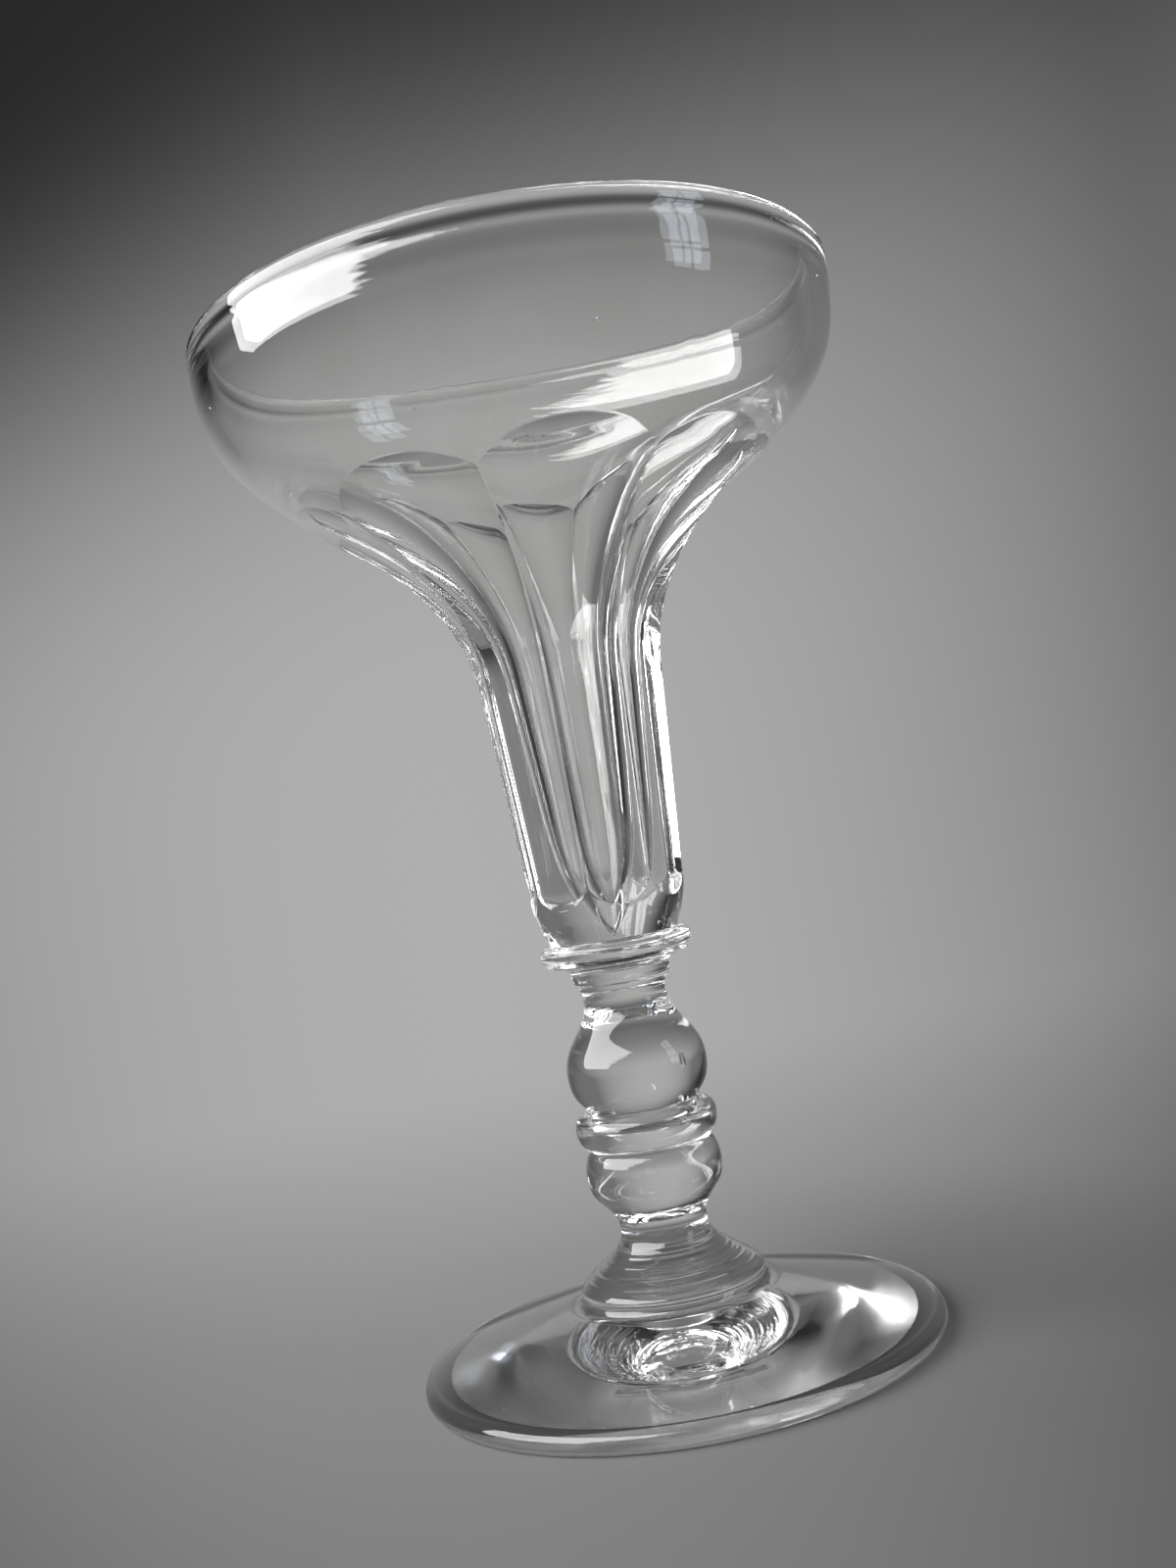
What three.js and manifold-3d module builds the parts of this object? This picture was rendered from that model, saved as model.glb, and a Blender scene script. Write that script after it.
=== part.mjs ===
// A hand-made champagne coupe. A blown bowl runs down into a hollow trumpet stem that is cut with flat
// panels, and stands on a collar, a ball knop, a ring, a lower knop and a spread foot. Each piece is one
// gather of glass, sealed hot to the next one on a flat disc.
// Millimetres, +Z up, origin on the table under the middle of the foot.
import * as THREE from 'three';
import { mergeVertices } from 'three/addons/utils/BufferGeometryUtils.js';
import Module from 'manifold-3d';

// Foot: a spread disc with a round edge, rising to a cone under the stem
const FOOT_HEIGHT = 20;
const FOOT_RADIUS = 37;
const FOOT_EDGE = 3.1;
const REST_RING_WIDTH = 3;
const KICK_HEIGHT = 1.2;
const PONTIL_RADIUS = 8;
const PONTIL_DEPTH = 0.8;
const TOE_RADIUS = 13.1;
const TOE_HEIGHT = 8.7;
const TOE_FILLET = 2;
const FOOT_NECK_RADIUS = 6.2;
const FOOT_NECK_LENGTH = 2;

// Seals: the flat discs on which one gather is fused to the next, from the foot upwards
const FOOT_SEAL_RADIUS = 6.45;
const RING_SEAL_RADIUS = 8.1;
const BALL_SEAL_RADIUS = 7.7;
const COLLAR_SEAL_RADIUS = 6.5;
const BOWL_SEAL_RADIUS = 9.3;

// Knops of the stem, each with the height of its widest circle above its lower seal
const LOWER_KNOP_HEIGHT = 10;
const LOWER_KNOP_RADIUS = 9.7;
const LOWER_KNOP_BELLY = 6.4;
const RING_HEIGHT = 5.5;
const RING_RADIUS = 10.15;
const RING_BELLY = 2.95;
const BALL_HEIGHT = 17.5;
const BALL_RADIUS = 10.07;
const BALL_BELLY = 5.3;
const BALL_NECK_RADIUS = 6;
const BALL_NECK_LENGTH = 2;
const COLLAR_HEIGHT = 6.5;
const COLLAR_RADIUS = 10.95;
const COLLAR_BELLY = 4.95;
const COLLAR_LIP = 1.6;

// Bowl: heights are above its seal on the collar
const BOWL_HEIGHT = 90.5;
const BOWL_RADIUS = 46.25;
const RIM_WALL = 2.9;
const BASE_RADIUS = 10.75;
const BASE_HEIGHT = 4;

// Cut panels: flats from the axis out, and the crowns where they run out on the bowl
const PANELS = 8;
const SHAFT_FOOT_FLAT = 10.5;
const SHAFT_FOOT_HEIGHT = 7.5;
const SHAFT_TOP_FLAT = 12.6;
const SHAFT_TOP_HEIGHT = 38.5;
const CROWN_RADIUS = 34.7;
const CROWN_HEIGHT = 66.3;
const GRINDING_DEPTH = 0.6;
const CUT_OVERRUN = 0.8;

// Hollow: walls are measured across to the panels, and the floor is what is left under the tip
const CROWN_WALL = 7.4;
const SHAFT_TOP_WALL = 5.7;
const SHOULDER_WALL = 6.1;
const SHOULDER_HEIGHT = 18.5;
const TIP_FLOOR = 1.2;

// Slopes of the outlines, radius over height
const BASE_SLOPE = 0.35;
const CROWN_SLOPE = 1.11;
const CROWN_CUT_SLOPE = 2.6;
const FLOOR_SLOPE = 1.6;
const TIP_SLOPE = 0.57;
const UPRIGHT = 0;

// Shares of a curve's rise that keep the direction of one of its ends
const ROUND = 0.55;
const TOE_HOLD = 0.2;
const FOOT_NECK_HOLD = 0.45;
const BALL_HOLD = 0.46;
const BALL_NECK_HOLD = 0.4;
const BASE_HOLD = 0.1;
const SHAFT_HOLD = 0.45;
const FLARE_HOLD = 0.41;
const CROWN_HOLD = 0.36;
const WALL_HOLD = 0.57;
const CROWN_CUT_HOLD = 0.14;
const CUT_FLARE_HOLD = 0.44;
const CUP_HOLD = 0.5;
const FLOOR_HOLD = 0.4;
const FUNNEL_TOP_HOLD = 0.24;
const FUNNEL_HOLD = 0.51;
const SHOULDER_HOLD = 0.4;
const TIP_HOLD = 0.36;

// Shares of the rise by which the seal end of a swelling or a neck is lifted off the level
const NECK_LIFT = 0.3;
const LOWER_KNOP_LIFT = 0.5;
const BALL_LIFT = 0.25;
const COLLAR_LIFT = 0.2;
const LEVEL = 0;

// Facets
const STEM_SIDES = 48;
const BOWL_SIDES = 64;
const CURVE_STEPS = 5;
const CUT_STEPS = 8;

const wasm = await Module();
wasm.setup();

// Swells from the end of the outline out to an upright tangent; lift tilts the start of the curve up
function swellTo(outline, radius, height, lift) {
  const { x, y } = outline.currentPoint;
  outline.bezierCurveTo(
    x + ROUND * (radius - x), y + lift * (height - y),
    radius, height - ROUND * (height - y),
    radius, height,
  );
}

// Leaves the end of the outline upright and draws in to a point; lift tilts the end of the curve
function drawInTo(outline, radius, height, lift) {
  const { x, y } = outline.currentPoint;
  outline.bezierCurveTo(
    x, y + ROUND * (height - y),
    radius + ROUND * (x - radius), height - lift * (height - y),
    radius, height,
  );
}

// A curve from one slope to another, each end keeping its slope for its own share of the rise
function easeTo(outline, radius, height, [startSlope, startHold], [endSlope, endHold]) {
  const { x, y } = outline.currentPoint;
  const startRise = startHold * (height - y);
  const endRise = endHold * (height - y);
  outline.bezierCurveTo(
    x + startSlope * startRise, y + startRise,
    radius - endSlope * endRise, height - endRise,
    radius, height,
  );
}

// Revolves an outline of radius and height about the Z axis
function revolve(outline, sides) {
  return new THREE.LatheGeometry(outline.getPoints(CURVE_STEPS), sides).rotateX(Math.PI / 2);
}

// The closed solid of a geometry, with shared corners and without the empty triangles on the axis
function toSolid(geometry) {
  const bare = geometry.clone();
  bare.deleteAttribute('normal');
  bare.deleteAttribute('uv');
  const merged = mergeVertices(bare);
  const index = merged.index.array;
  const triangles = [];
  for (let i = 0; i < index.length; i += 3) {
    const [a, b, c] = index.slice(i, i + 3);
    if (a !== b && b !== c && c !== a) triangles.push(a, b, c);
  }
  return new wasm.Manifold(new wasm.Mesh({
    numProp: 3,
    vertProperties: merged.attributes.position.array,
    triVerts: new Uint32Array(triangles),
  }));
}

function toGeometry(solid) {
  const { vertProperties, triVerts } = solid.getMesh();
  const geometry = new THREE.BufferGeometry();
  geometry.setAttribute('position', new THREE.BufferAttribute(vertProperties, 3));
  geometry.setIndex(new THREE.BufferAttribute(triVerts, 1));
  geometry.computeVertexNormals();
  return geometry;
}

function foot() {
  const edgeRadius = FOOT_EDGE / 2;
  const restOuter = FOOT_RADIUS - edgeRadius;
  const restInner = restOuter - REST_RING_WIDTH;
  const neckHeight = FOOT_HEIGHT - FOOT_NECK_LENGTH;
  const outline = new THREE.Path();
  // ground pontil hollow, domed underside and the flat ring it stands on
  outline.moveTo(0, KICK_HEIGHT + PONTIL_DEPTH);
  outline.quadraticCurveTo(PONTIL_RADIUS / 2, KICK_HEIGHT + PONTIL_DEPTH, PONTIL_RADIUS, KICK_HEIGHT);
  outline.quadraticCurveTo((PONTIL_RADIUS + restInner) / 2, KICK_HEIGHT, restInner, 0);
  outline.lineTo(restOuter, 0);
  outline.absarc(restOuter, edgeRadius, edgeRadius, -Math.PI / 2, Math.PI / 2, false);
  // sloping top, the toe of the cone, the cone and the neck
  outline.lineTo(TOE_RADIUS + TOE_FILLET, TOE_HEIGHT);
  outline.quadraticCurveTo(TOE_RADIUS, TOE_HEIGHT, TOE_RADIUS, TOE_HEIGHT + TOE_FILLET);
  easeTo(outline, FOOT_NECK_RADIUS, neckHeight, [UPRIGHT, TOE_HOLD], [UPRIGHT, FOOT_NECK_HOLD]);
  drawInTo(outline, FOOT_SEAL_RADIUS, FOOT_HEIGHT, NECK_LIFT);
  outline.lineTo(0, FOOT_HEIGHT);
  return revolve(outline, STEM_SIDES);
}

function lowerKnop() {
  const outline = new THREE.Path();
  outline.moveTo(0, 0);
  outline.lineTo(FOOT_SEAL_RADIUS, 0);
  swellTo(outline, LOWER_KNOP_RADIUS, LOWER_KNOP_BELLY, LOWER_KNOP_LIFT);
  drawInTo(outline, RING_SEAL_RADIUS, LOWER_KNOP_HEIGHT, LEVEL);
  outline.lineTo(0, LOWER_KNOP_HEIGHT);
  return revolve(outline, STEM_SIDES);
}

function ringKnop() {
  const outline = new THREE.Path();
  outline.moveTo(0, 0);
  outline.lineTo(RING_SEAL_RADIUS, 0);
  swellTo(outline, RING_RADIUS, RING_BELLY, LEVEL);
  drawInTo(outline, BALL_SEAL_RADIUS, RING_HEIGHT, LEVEL);
  outline.lineTo(0, RING_HEIGHT);
  return revolve(outline, STEM_SIDES);
}

function ballKnop() {
  const neckHeight = BALL_HEIGHT - BALL_NECK_LENGTH;
  const outline = new THREE.Path();
  outline.moveTo(0, 0);
  outline.lineTo(BALL_SEAL_RADIUS, 0);
  swellTo(outline, BALL_RADIUS, BALL_BELLY, BALL_LIFT);
  easeTo(outline, BALL_NECK_RADIUS, neckHeight, [UPRIGHT, BALL_HOLD], [UPRIGHT, BALL_NECK_HOLD]);
  drawInTo(outline, COLLAR_SEAL_RADIUS, BALL_HEIGHT, NECK_LIFT);
  outline.lineTo(0, BALL_HEIGHT);
  return revolve(outline, STEM_SIDES);
}

function collar() {
  const lipRadius = COLLAR_RADIUS - COLLAR_LIP * ROUND;
  const lipHeight = COLLAR_BELLY - COLLAR_LIP;
  const outline = new THREE.Path();
  outline.moveTo(0, 0);
  outline.lineTo(COLLAR_SEAL_RADIUS, 0);
  // tooled hollow under the flange, then its round lip
  outline.quadraticCurveTo(COLLAR_SEAL_RADIUS, lipHeight * ROUND, lipRadius, lipHeight);
  swellTo(outline, COLLAR_RADIUS, COLLAR_BELLY, COLLAR_LIFT);
  drawInTo(outline, BOWL_SEAL_RADIUS, COLLAR_HEIGHT, LEVEL);
  outline.lineTo(0, COLLAR_HEIGHT);
  return revolve(outline, STEM_SIDES);
}

// How fast the flats of the shaft lean out as they rise
function panelSlope() {
  return (SHAFT_TOP_FLAT - SHAFT_FOOT_FLAT) / (SHAFT_TOP_HEIGHT - SHAFT_FOOT_HEIGHT);
}

// The blown bowl before cutting, with its hollow: out and up the outside, over the lip, down the inside
function bowlBlank() {
  const slope = panelSlope();
  const shaftTop = SHAFT_TOP_FLAT / Math.cos(Math.PI / PANELS) + GRINDING_DEPTH;
  const lip = RIM_WALL / 2;
  const lipHeight = BOWL_HEIGHT - lip;
  const outline = new THREE.Path();
  outline.moveTo(0, 0);
  outline.lineTo(BOWL_SEAL_RADIUS, 0);
  outline.lineTo(BASE_RADIUS, BASE_HEIGHT);
  easeTo(outline, shaftTop, SHAFT_TOP_HEIGHT, [BASE_SLOPE, BASE_HOLD], [slope, SHAFT_HOLD]);
  easeTo(outline, CROWN_RADIUS, CROWN_HEIGHT, [slope, FLARE_HOLD], [CROWN_SLOPE, CROWN_HOLD]);
  easeTo(outline, BOWL_RADIUS, lipHeight, [CROWN_SLOPE, CROWN_HOLD], [UPRIGHT, WALL_HOLD]);
  outline.absarc(BOWL_RADIUS - lip, lipHeight, lip, 0, Math.PI, false);
  // inside: the cup, the funnel, the hollow of the shaft and its drawn-out tip
  const throat = SHAFT_TOP_FLAT - SHAFT_TOP_WALL;
  const shoulderFlat = SHAFT_FOOT_FLAT + slope * (SHOULDER_HEIGHT - SHAFT_FOOT_HEIGHT);
  const shoulder = shoulderFlat - SHOULDER_WALL;
  const hollowSlope = (throat - shoulder) / (SHAFT_TOP_HEIGHT - SHOULDER_HEIGHT);
  const floorRadius = CROWN_RADIUS - CROWN_WALL;
  easeTo(outline, floorRadius, CROWN_HEIGHT, [UPRIGHT, CUP_HOLD], [FLOOR_SLOPE, FLOOR_HOLD]);
  easeTo(outline, throat, SHAFT_TOP_HEIGHT, [FLOOR_SLOPE, FUNNEL_TOP_HOLD], [hollowSlope, FUNNEL_HOLD]);
  outline.lineTo(shoulder, SHOULDER_HEIGHT);
  easeTo(outline, 0, TIP_FLOOR, [hollowSlope, SHOULDER_HOLD], [TIP_SLOPE, TIP_HOLD]);
  return revolve(outline, BOWL_SIDES);
}

// What one panel takes away: everything outside its flat, from its run-out on the base to its crown
function panelCutter() {
  const reach = BOWL_RADIUS + CUT_OVERRUN;
  const runOut = new THREE.Vector2(BASE_RADIUS + CUT_OVERRUN, BASE_HEIGHT - CUT_OVERRUN);
  const crownEnd = CROWN_HEIGHT + CUT_OVERRUN;
  const cut = new THREE.Shape();
  cut.moveTo(runOut.x, runOut.y);
  cut.lineTo(reach, runOut.y);
  cut.lineTo(reach, crownEnd);
  cut.lineTo(CROWN_RADIUS + CROWN_CUT_SLOPE * CUT_OVERRUN, crownEnd);
  cut.lineTo(CROWN_RADIUS, CROWN_HEIGHT);
  easeTo(
    cut, SHAFT_TOP_FLAT, SHAFT_TOP_HEIGHT,
    [CROWN_CUT_SLOPE, CROWN_CUT_HOLD], [panelSlope(), CUT_FLARE_HOLD],
  );
  cut.lineTo(SHAFT_FOOT_FLAT, SHAFT_FOOT_HEIGHT);
  cut.quadraticCurveTo(SHAFT_FOOT_FLAT, BASE_HEIGHT, runOut.x, runOut.y);
  const width = 2 * CROWN_RADIUS * Math.tan(Math.PI / PANELS);
  const geometry = new THREE.ExtrudeGeometry(cut, {
    depth: width,
    bevelEnabled: false,
    curveSegments: CUT_STEPS,
  });
  return geometry.translate(0, 0, -width / 2).rotateX(Math.PI / 2);
}

// One panel faces -Y, and the others follow round the stem
function bowl() {
  const cutter = toSolid(panelCutter());
  const pitch = 360 / PANELS;
  let solid = toSolid(bowlBlank());
  for (let panel = 0; panel < PANELS; panel += 1) {
    solid = solid.subtract(cutter.rotate([0, 0, panel * pitch - 90]));
  }
  return toGeometry(solid);
}

function clearGlass(tint) {
  return new THREE.MeshStandardMaterial({
    color: tint,
    roughness: 0.04,
    metalness: 0,
    transparent: true,
    opacity: 0.35,
  });
}

const glass = new THREE.Group();
glass.name = 'champagne_coupe';

// Stacks a piece on what has been placed so far and returns the height of its upper seal
function stack(name, geometry, tint, base, height) {
  const piece = new THREE.Mesh(geometry, clearGlass(tint));
  piece.name = name;
  piece.position.z = base;
  glass.add(piece);
  return base + height;
}

let seal = stack('foot', foot(), 0xdfe4e2, 0, FOOT_HEIGHT);
seal = stack('lower_knop', lowerKnop(), 0xdde1df, seal, LOWER_KNOP_HEIGHT);
seal = stack('ring_knop', ringKnop(), 0xd9dcd9, seal, RING_HEIGHT);
seal = stack('ball_knop', ballKnop(), 0xd6d8d4, seal, BALL_HEIGHT);
seal = stack('collar', collar(), 0xe1e5e4, seal, COLLAR_HEIGHT);
stack('bowl', bowl(), 0xe3e7e6, seal, BOWL_HEIGHT);

export default glass;
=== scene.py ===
"""Looks of a hand-made champagne coupe: six gathers of clear glass on a seamless grey ground.

Each operator models one gather in place of its plain solid, and one sets the stage.
"""

import math
from bisect import bisect_left
from typing import NamedTuple

import bmesh
import bpy
from bpy.props import FloatProperty, FloatVectorProperty, IntProperty, PointerProperty
from bpy.types import Operator, Panel, PropertyGroup
from mathutils import Matrix, Vector, noise
from mathutils.geometry import interpolate_bezier


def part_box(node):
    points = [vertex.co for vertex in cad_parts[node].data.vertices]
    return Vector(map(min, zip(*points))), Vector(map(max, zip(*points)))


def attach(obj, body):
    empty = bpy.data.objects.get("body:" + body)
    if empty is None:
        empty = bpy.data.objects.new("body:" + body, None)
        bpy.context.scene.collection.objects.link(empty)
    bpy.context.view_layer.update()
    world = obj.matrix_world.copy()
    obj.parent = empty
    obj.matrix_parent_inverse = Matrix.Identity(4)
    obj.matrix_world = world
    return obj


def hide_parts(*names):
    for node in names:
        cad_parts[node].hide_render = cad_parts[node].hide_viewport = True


bl_info = {
    "name": "Champagne Coupe",
    "version": (1, 0, 0),
    "blender": (4, 5, 0),
    "location": "View3D > Sidebar > Coupe",
    "description": "Models the gathers of a panel-cut champagne coupe and the stage it stands on",
    "category": "Add Mesh",
}

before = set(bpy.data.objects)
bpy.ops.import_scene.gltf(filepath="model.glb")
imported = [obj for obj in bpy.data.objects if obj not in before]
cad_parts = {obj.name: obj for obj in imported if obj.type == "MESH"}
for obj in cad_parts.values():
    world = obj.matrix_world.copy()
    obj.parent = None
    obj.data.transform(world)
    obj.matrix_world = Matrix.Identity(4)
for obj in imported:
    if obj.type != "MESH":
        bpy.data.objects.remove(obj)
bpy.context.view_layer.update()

BODY = "root"

# Mesh fineness
COLUMNS = 192
ROW = 0.0005
FINE_ROW = 0.00017
FEWEST_ROWS = 4
SHARE_STEPS = 8
BUBBLE_SUBDIVISIONS = 3
WELD = 1e-7
SEAL_REACH = 1e-6

# Shape factors of the curves: a quarter ellipse, and directions at the ends of an outline
ROUND = 0.5523
UPRIGHT = 0.0
LEVEL = 0.0

# How far, and in how many steps each way, the stretches of an outline run into each other
SOFT_REACH = 0.0025
SOFT_STEPS = 4

# Second pitch of the tool marks, over the first
SECOND_PITCH = 1.73

# Angle of the panel that faces the front
FRONT = -math.pi / 2


def metres(name, description, default):
    """A size in metres."""
    return FloatProperty(
        name=name, description=description, default=default, min=0.0, unit="LENGTH", precision=5
    )


def factor(name, description, default):
    """A plain factor."""
    return FloatProperty(name=name, description=description, default=default, precision=4)


def degrees(name, description, default):
    """An angle, given in degrees."""
    return FloatProperty(
        name=name, description=description, default=math.radians(default), subtype="ANGLE"
    )


def tint(name, description, default):
    """A linear colour."""
    return FloatVectorProperty(
        name=name, description=description, default=default, subtype="COLOR", size=3, min=0.0, max=1.0
    )


class CoupeSeals(PropertyGroup):
    """Radii of the discs on which one gather is sealed to the next."""

    foot: metres("Foot seal", "Seal between the foot and the lower knop", 0.00645)
    ring: metres("Ring seal", "Seal between the lower knop and the ring", 0.0081)
    ball: metres("Ball seal", "Seal between the ring and the ball", 0.0077)
    collar: metres("Collar seal", "Seal between the neck of the ball and the collar", 0.0065)
    bowl: metres("Bowl seal", "Seal between the collar and the bowl", 0.0093)


class CoupeBowl(PropertyGroup):
    """Sizes of the blown bowl, its cut panels and its hollow; heights are above its seal."""

    rim_wall: metres("Rim wall", "Thickness of the wall at the rim", 0.0029)
    base_radius: metres("Base radius", "Radius where the panels begin", 0.01075)
    base_height: metres("Base height", "Height where the panels begin", 0.004)
    panels: IntProperty(name="Panels", description="How many flats are cut", default=8, min=3)
    shaft_foot_flat: metres("Shaft foot flat", "Axis to flat at the foot of the shaft", 0.0105)
    shaft_foot_height: metres("Shaft foot height", "Height of that point", 0.0075)
    shaft_top_flat: metres("Shaft top flat", "Axis to flat at the top of the shaft", 0.0126)
    shaft_top_height: metres("Shaft top height", "Height of that point", 0.0385)
    crown_radius: metres("Crown radius", "Radius where a panel runs out on the cup", 0.0347)
    crown_height: metres("Crown height", "Height where a panel runs out on the cup", 0.0663)
    grinding_depth: metres("Grinding depth", "Glass ground off the ridges of the shaft", 0.0006)
    overrun: metres("Overrun", "How far a cut runs on past its ends", 0.0008)
    ridge_round: metres("Ridge rounding", "Wear on the ridges and arches", 0.00014)
    crown_wall: metres("Crown wall", "Wall across the crown", 0.0074)
    shaft_top_wall: metres("Shaft top wall", "Wall at the top of the shaft", 0.0057)
    shoulder_wall: metres("Shoulder wall", "Wall where the hollow starts to draw in", 0.0061)
    shoulder_height: metres("Shoulder height", "Height of that point", 0.0185)
    tip_floor: metres("Tip floor", "Glass under the tip of the hollow", 0.0012)
    waviness: metres("Waviness", "Height of the waves left by blowing", 0.000012)


class CoupeStem(PropertyGroup):
    """Sizes of the collar and the knops; heights are above each one's lower seal."""

    collar_belly: metres("Collar belly", "Height of the widest circle of the collar", 0.00495)
    collar_lip: metres("Collar lip", "Thickness of the lower half of the flange", 0.0016)
    collar_band: metres("Collar band", "Radius of the band under the flange", 0.0071)
    collar_sway: metres("Collar sway", "Unevenness of the tooled flange", 0.00018)
    ball_belly: metres("Ball belly", "Height of the widest circle of the ball", 0.0053)
    ball_neck_radius: metres("Ball neck radius", "Radius of the neck over the ball", 0.006)
    ball_neck_length: metres("Ball neck length", "Length of that neck", 0.002)
    ring_belly: metres("Ring belly", "Height of the widest circle of the ring", 0.00295)
    lower_belly: metres("Lower knop belly", "Height of the widest circle of the knop", 0.0064)
    bubble_width: metres("Bubble width", "Width of the air bubble in the ball", 0.0008)
    bubble_length: metres("Bubble length", "Length of the air bubble in the ball", 0.0021)
    waviness: metres("Waviness", "Height of the waves left by tooling", 0.000008)


class CoupeFoot(PropertyGroup):
    """Sizes of the spread foot."""

    edge: metres("Edge", "Thickness of the round edge", 0.0031)
    rest_ring: metres("Resting ring", "Width of the flat ring it stands on", 0.003)
    kick: metres("Kick", "Rise of the underside", 0.0012)
    pontil_radius: metres("Pontil radius", "Radius of the ground hollow underneath", 0.008)
    pontil_depth: metres("Pontil depth", "Depth of that hollow", 0.0008)
    toe_radius: metres("Toe radius", "Radius of the foot of the cone", 0.0131)
    toe_height: metres("Toe height", "Height of the foot of the cone", 0.0087)
    toe_fillet: metres("Toe fillet", "Rounding between the disc and the cone", 0.002)
    neck_radius: metres("Neck radius", "Radius of the neck under the seal", 0.0062)
    neck_length: metres("Neck length", "Length of that neck", 0.002)
    ring_pitch: metres("Tool ring pitch", "Distance between tool marks on the cone", 0.0008)
    ring_depth: metres("Tool ring depth", "Depth of the tool marks on the cone", 0.000026)
    waviness: metres("Waviness", "Height of the waves left by spreading the foot", 0.00001)


class CoupeGlass(PropertyGroup):
    """Finish of the glass."""

    clear: tint("Clear glass", "Tint of the clean glass", (0.985, 0.985, 0.98))
    dull: tint("Dull glass", "Tint where the glass is a little grey", (0.95, 0.945, 0.935))
    ior: factor("IOR", "How strongly the glass bends light", 1.5)
    striation_depth: metres("Striations", "Depth of the fine blowing marks", 0.0000012)
    turning_depth: metres("Turning marks", "Depth of the ring marks under the foot", 0.000009)
    wear_roughness: factor("Wear", "Roughness of the ring that the foot stands on", 0.2)
    scratch_roughness: factor("Scratches", "Roughness of the fine scratches", 0.25)
    speck_roughness: factor("Specks", "Roughness of dust and pits", 0.7)


class CoupeStage(PropertyGroup):
    """The ground, the lamps and the camera."""

    # Tones of the ground; away from the foot they glow as painted light
    ground_near: tint("Near ground", "Ground in front of the glass", (0.15, 0.15, 0.149))
    ground_far: tint("Far ground", "Ground and wall behind the glass", (0.422, 0.427, 0.421))
    # Painted shade: height at which the ground's painted tone goes dark up the wall
    wall_shade_height: metres("Wall fade", "Height at which the wall goes dark", 0.74)
    # Painted shade and light of the room out of the picture
    room_low: tint("Lower room", "Walls out of the picture, low down", (0.035, 0.035, 0.037))
    room_high: tint("Upper room", "Walls out of the picture, high up", (0.18, 0.18, 0.185))
    # Painted shade of the floor as seen through the glass
    bent_floor_shade: factor("Floor dip", "How much darker the floor looks through the knops", 0.7)
    window: factor("Window", "Brightness of the window", 9.0)
    side_window: factor("Side window", "Brightness of the window on the right", 3.2)
    sky: factor("Sky", "Light from above", 0.2)
    lens: FloatProperty(name="Lens", description="Focal length in millimetres", default=36.09)
    camera_azimuth: degrees("Camera azimuth", "Round from the panel that faces front", 9.5)
    camera_pitch: degrees("Camera pitch", "Upward tilt", 2.28)
    camera_roll: degrees("Camera roll", "Lean of the picture", 9.85)
    camera_distance: metres("Camera distance", "From the axis of the glass", 0.2261)
    camera_height: metres("Camera height", "Above the ground", 0.07255)


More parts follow.
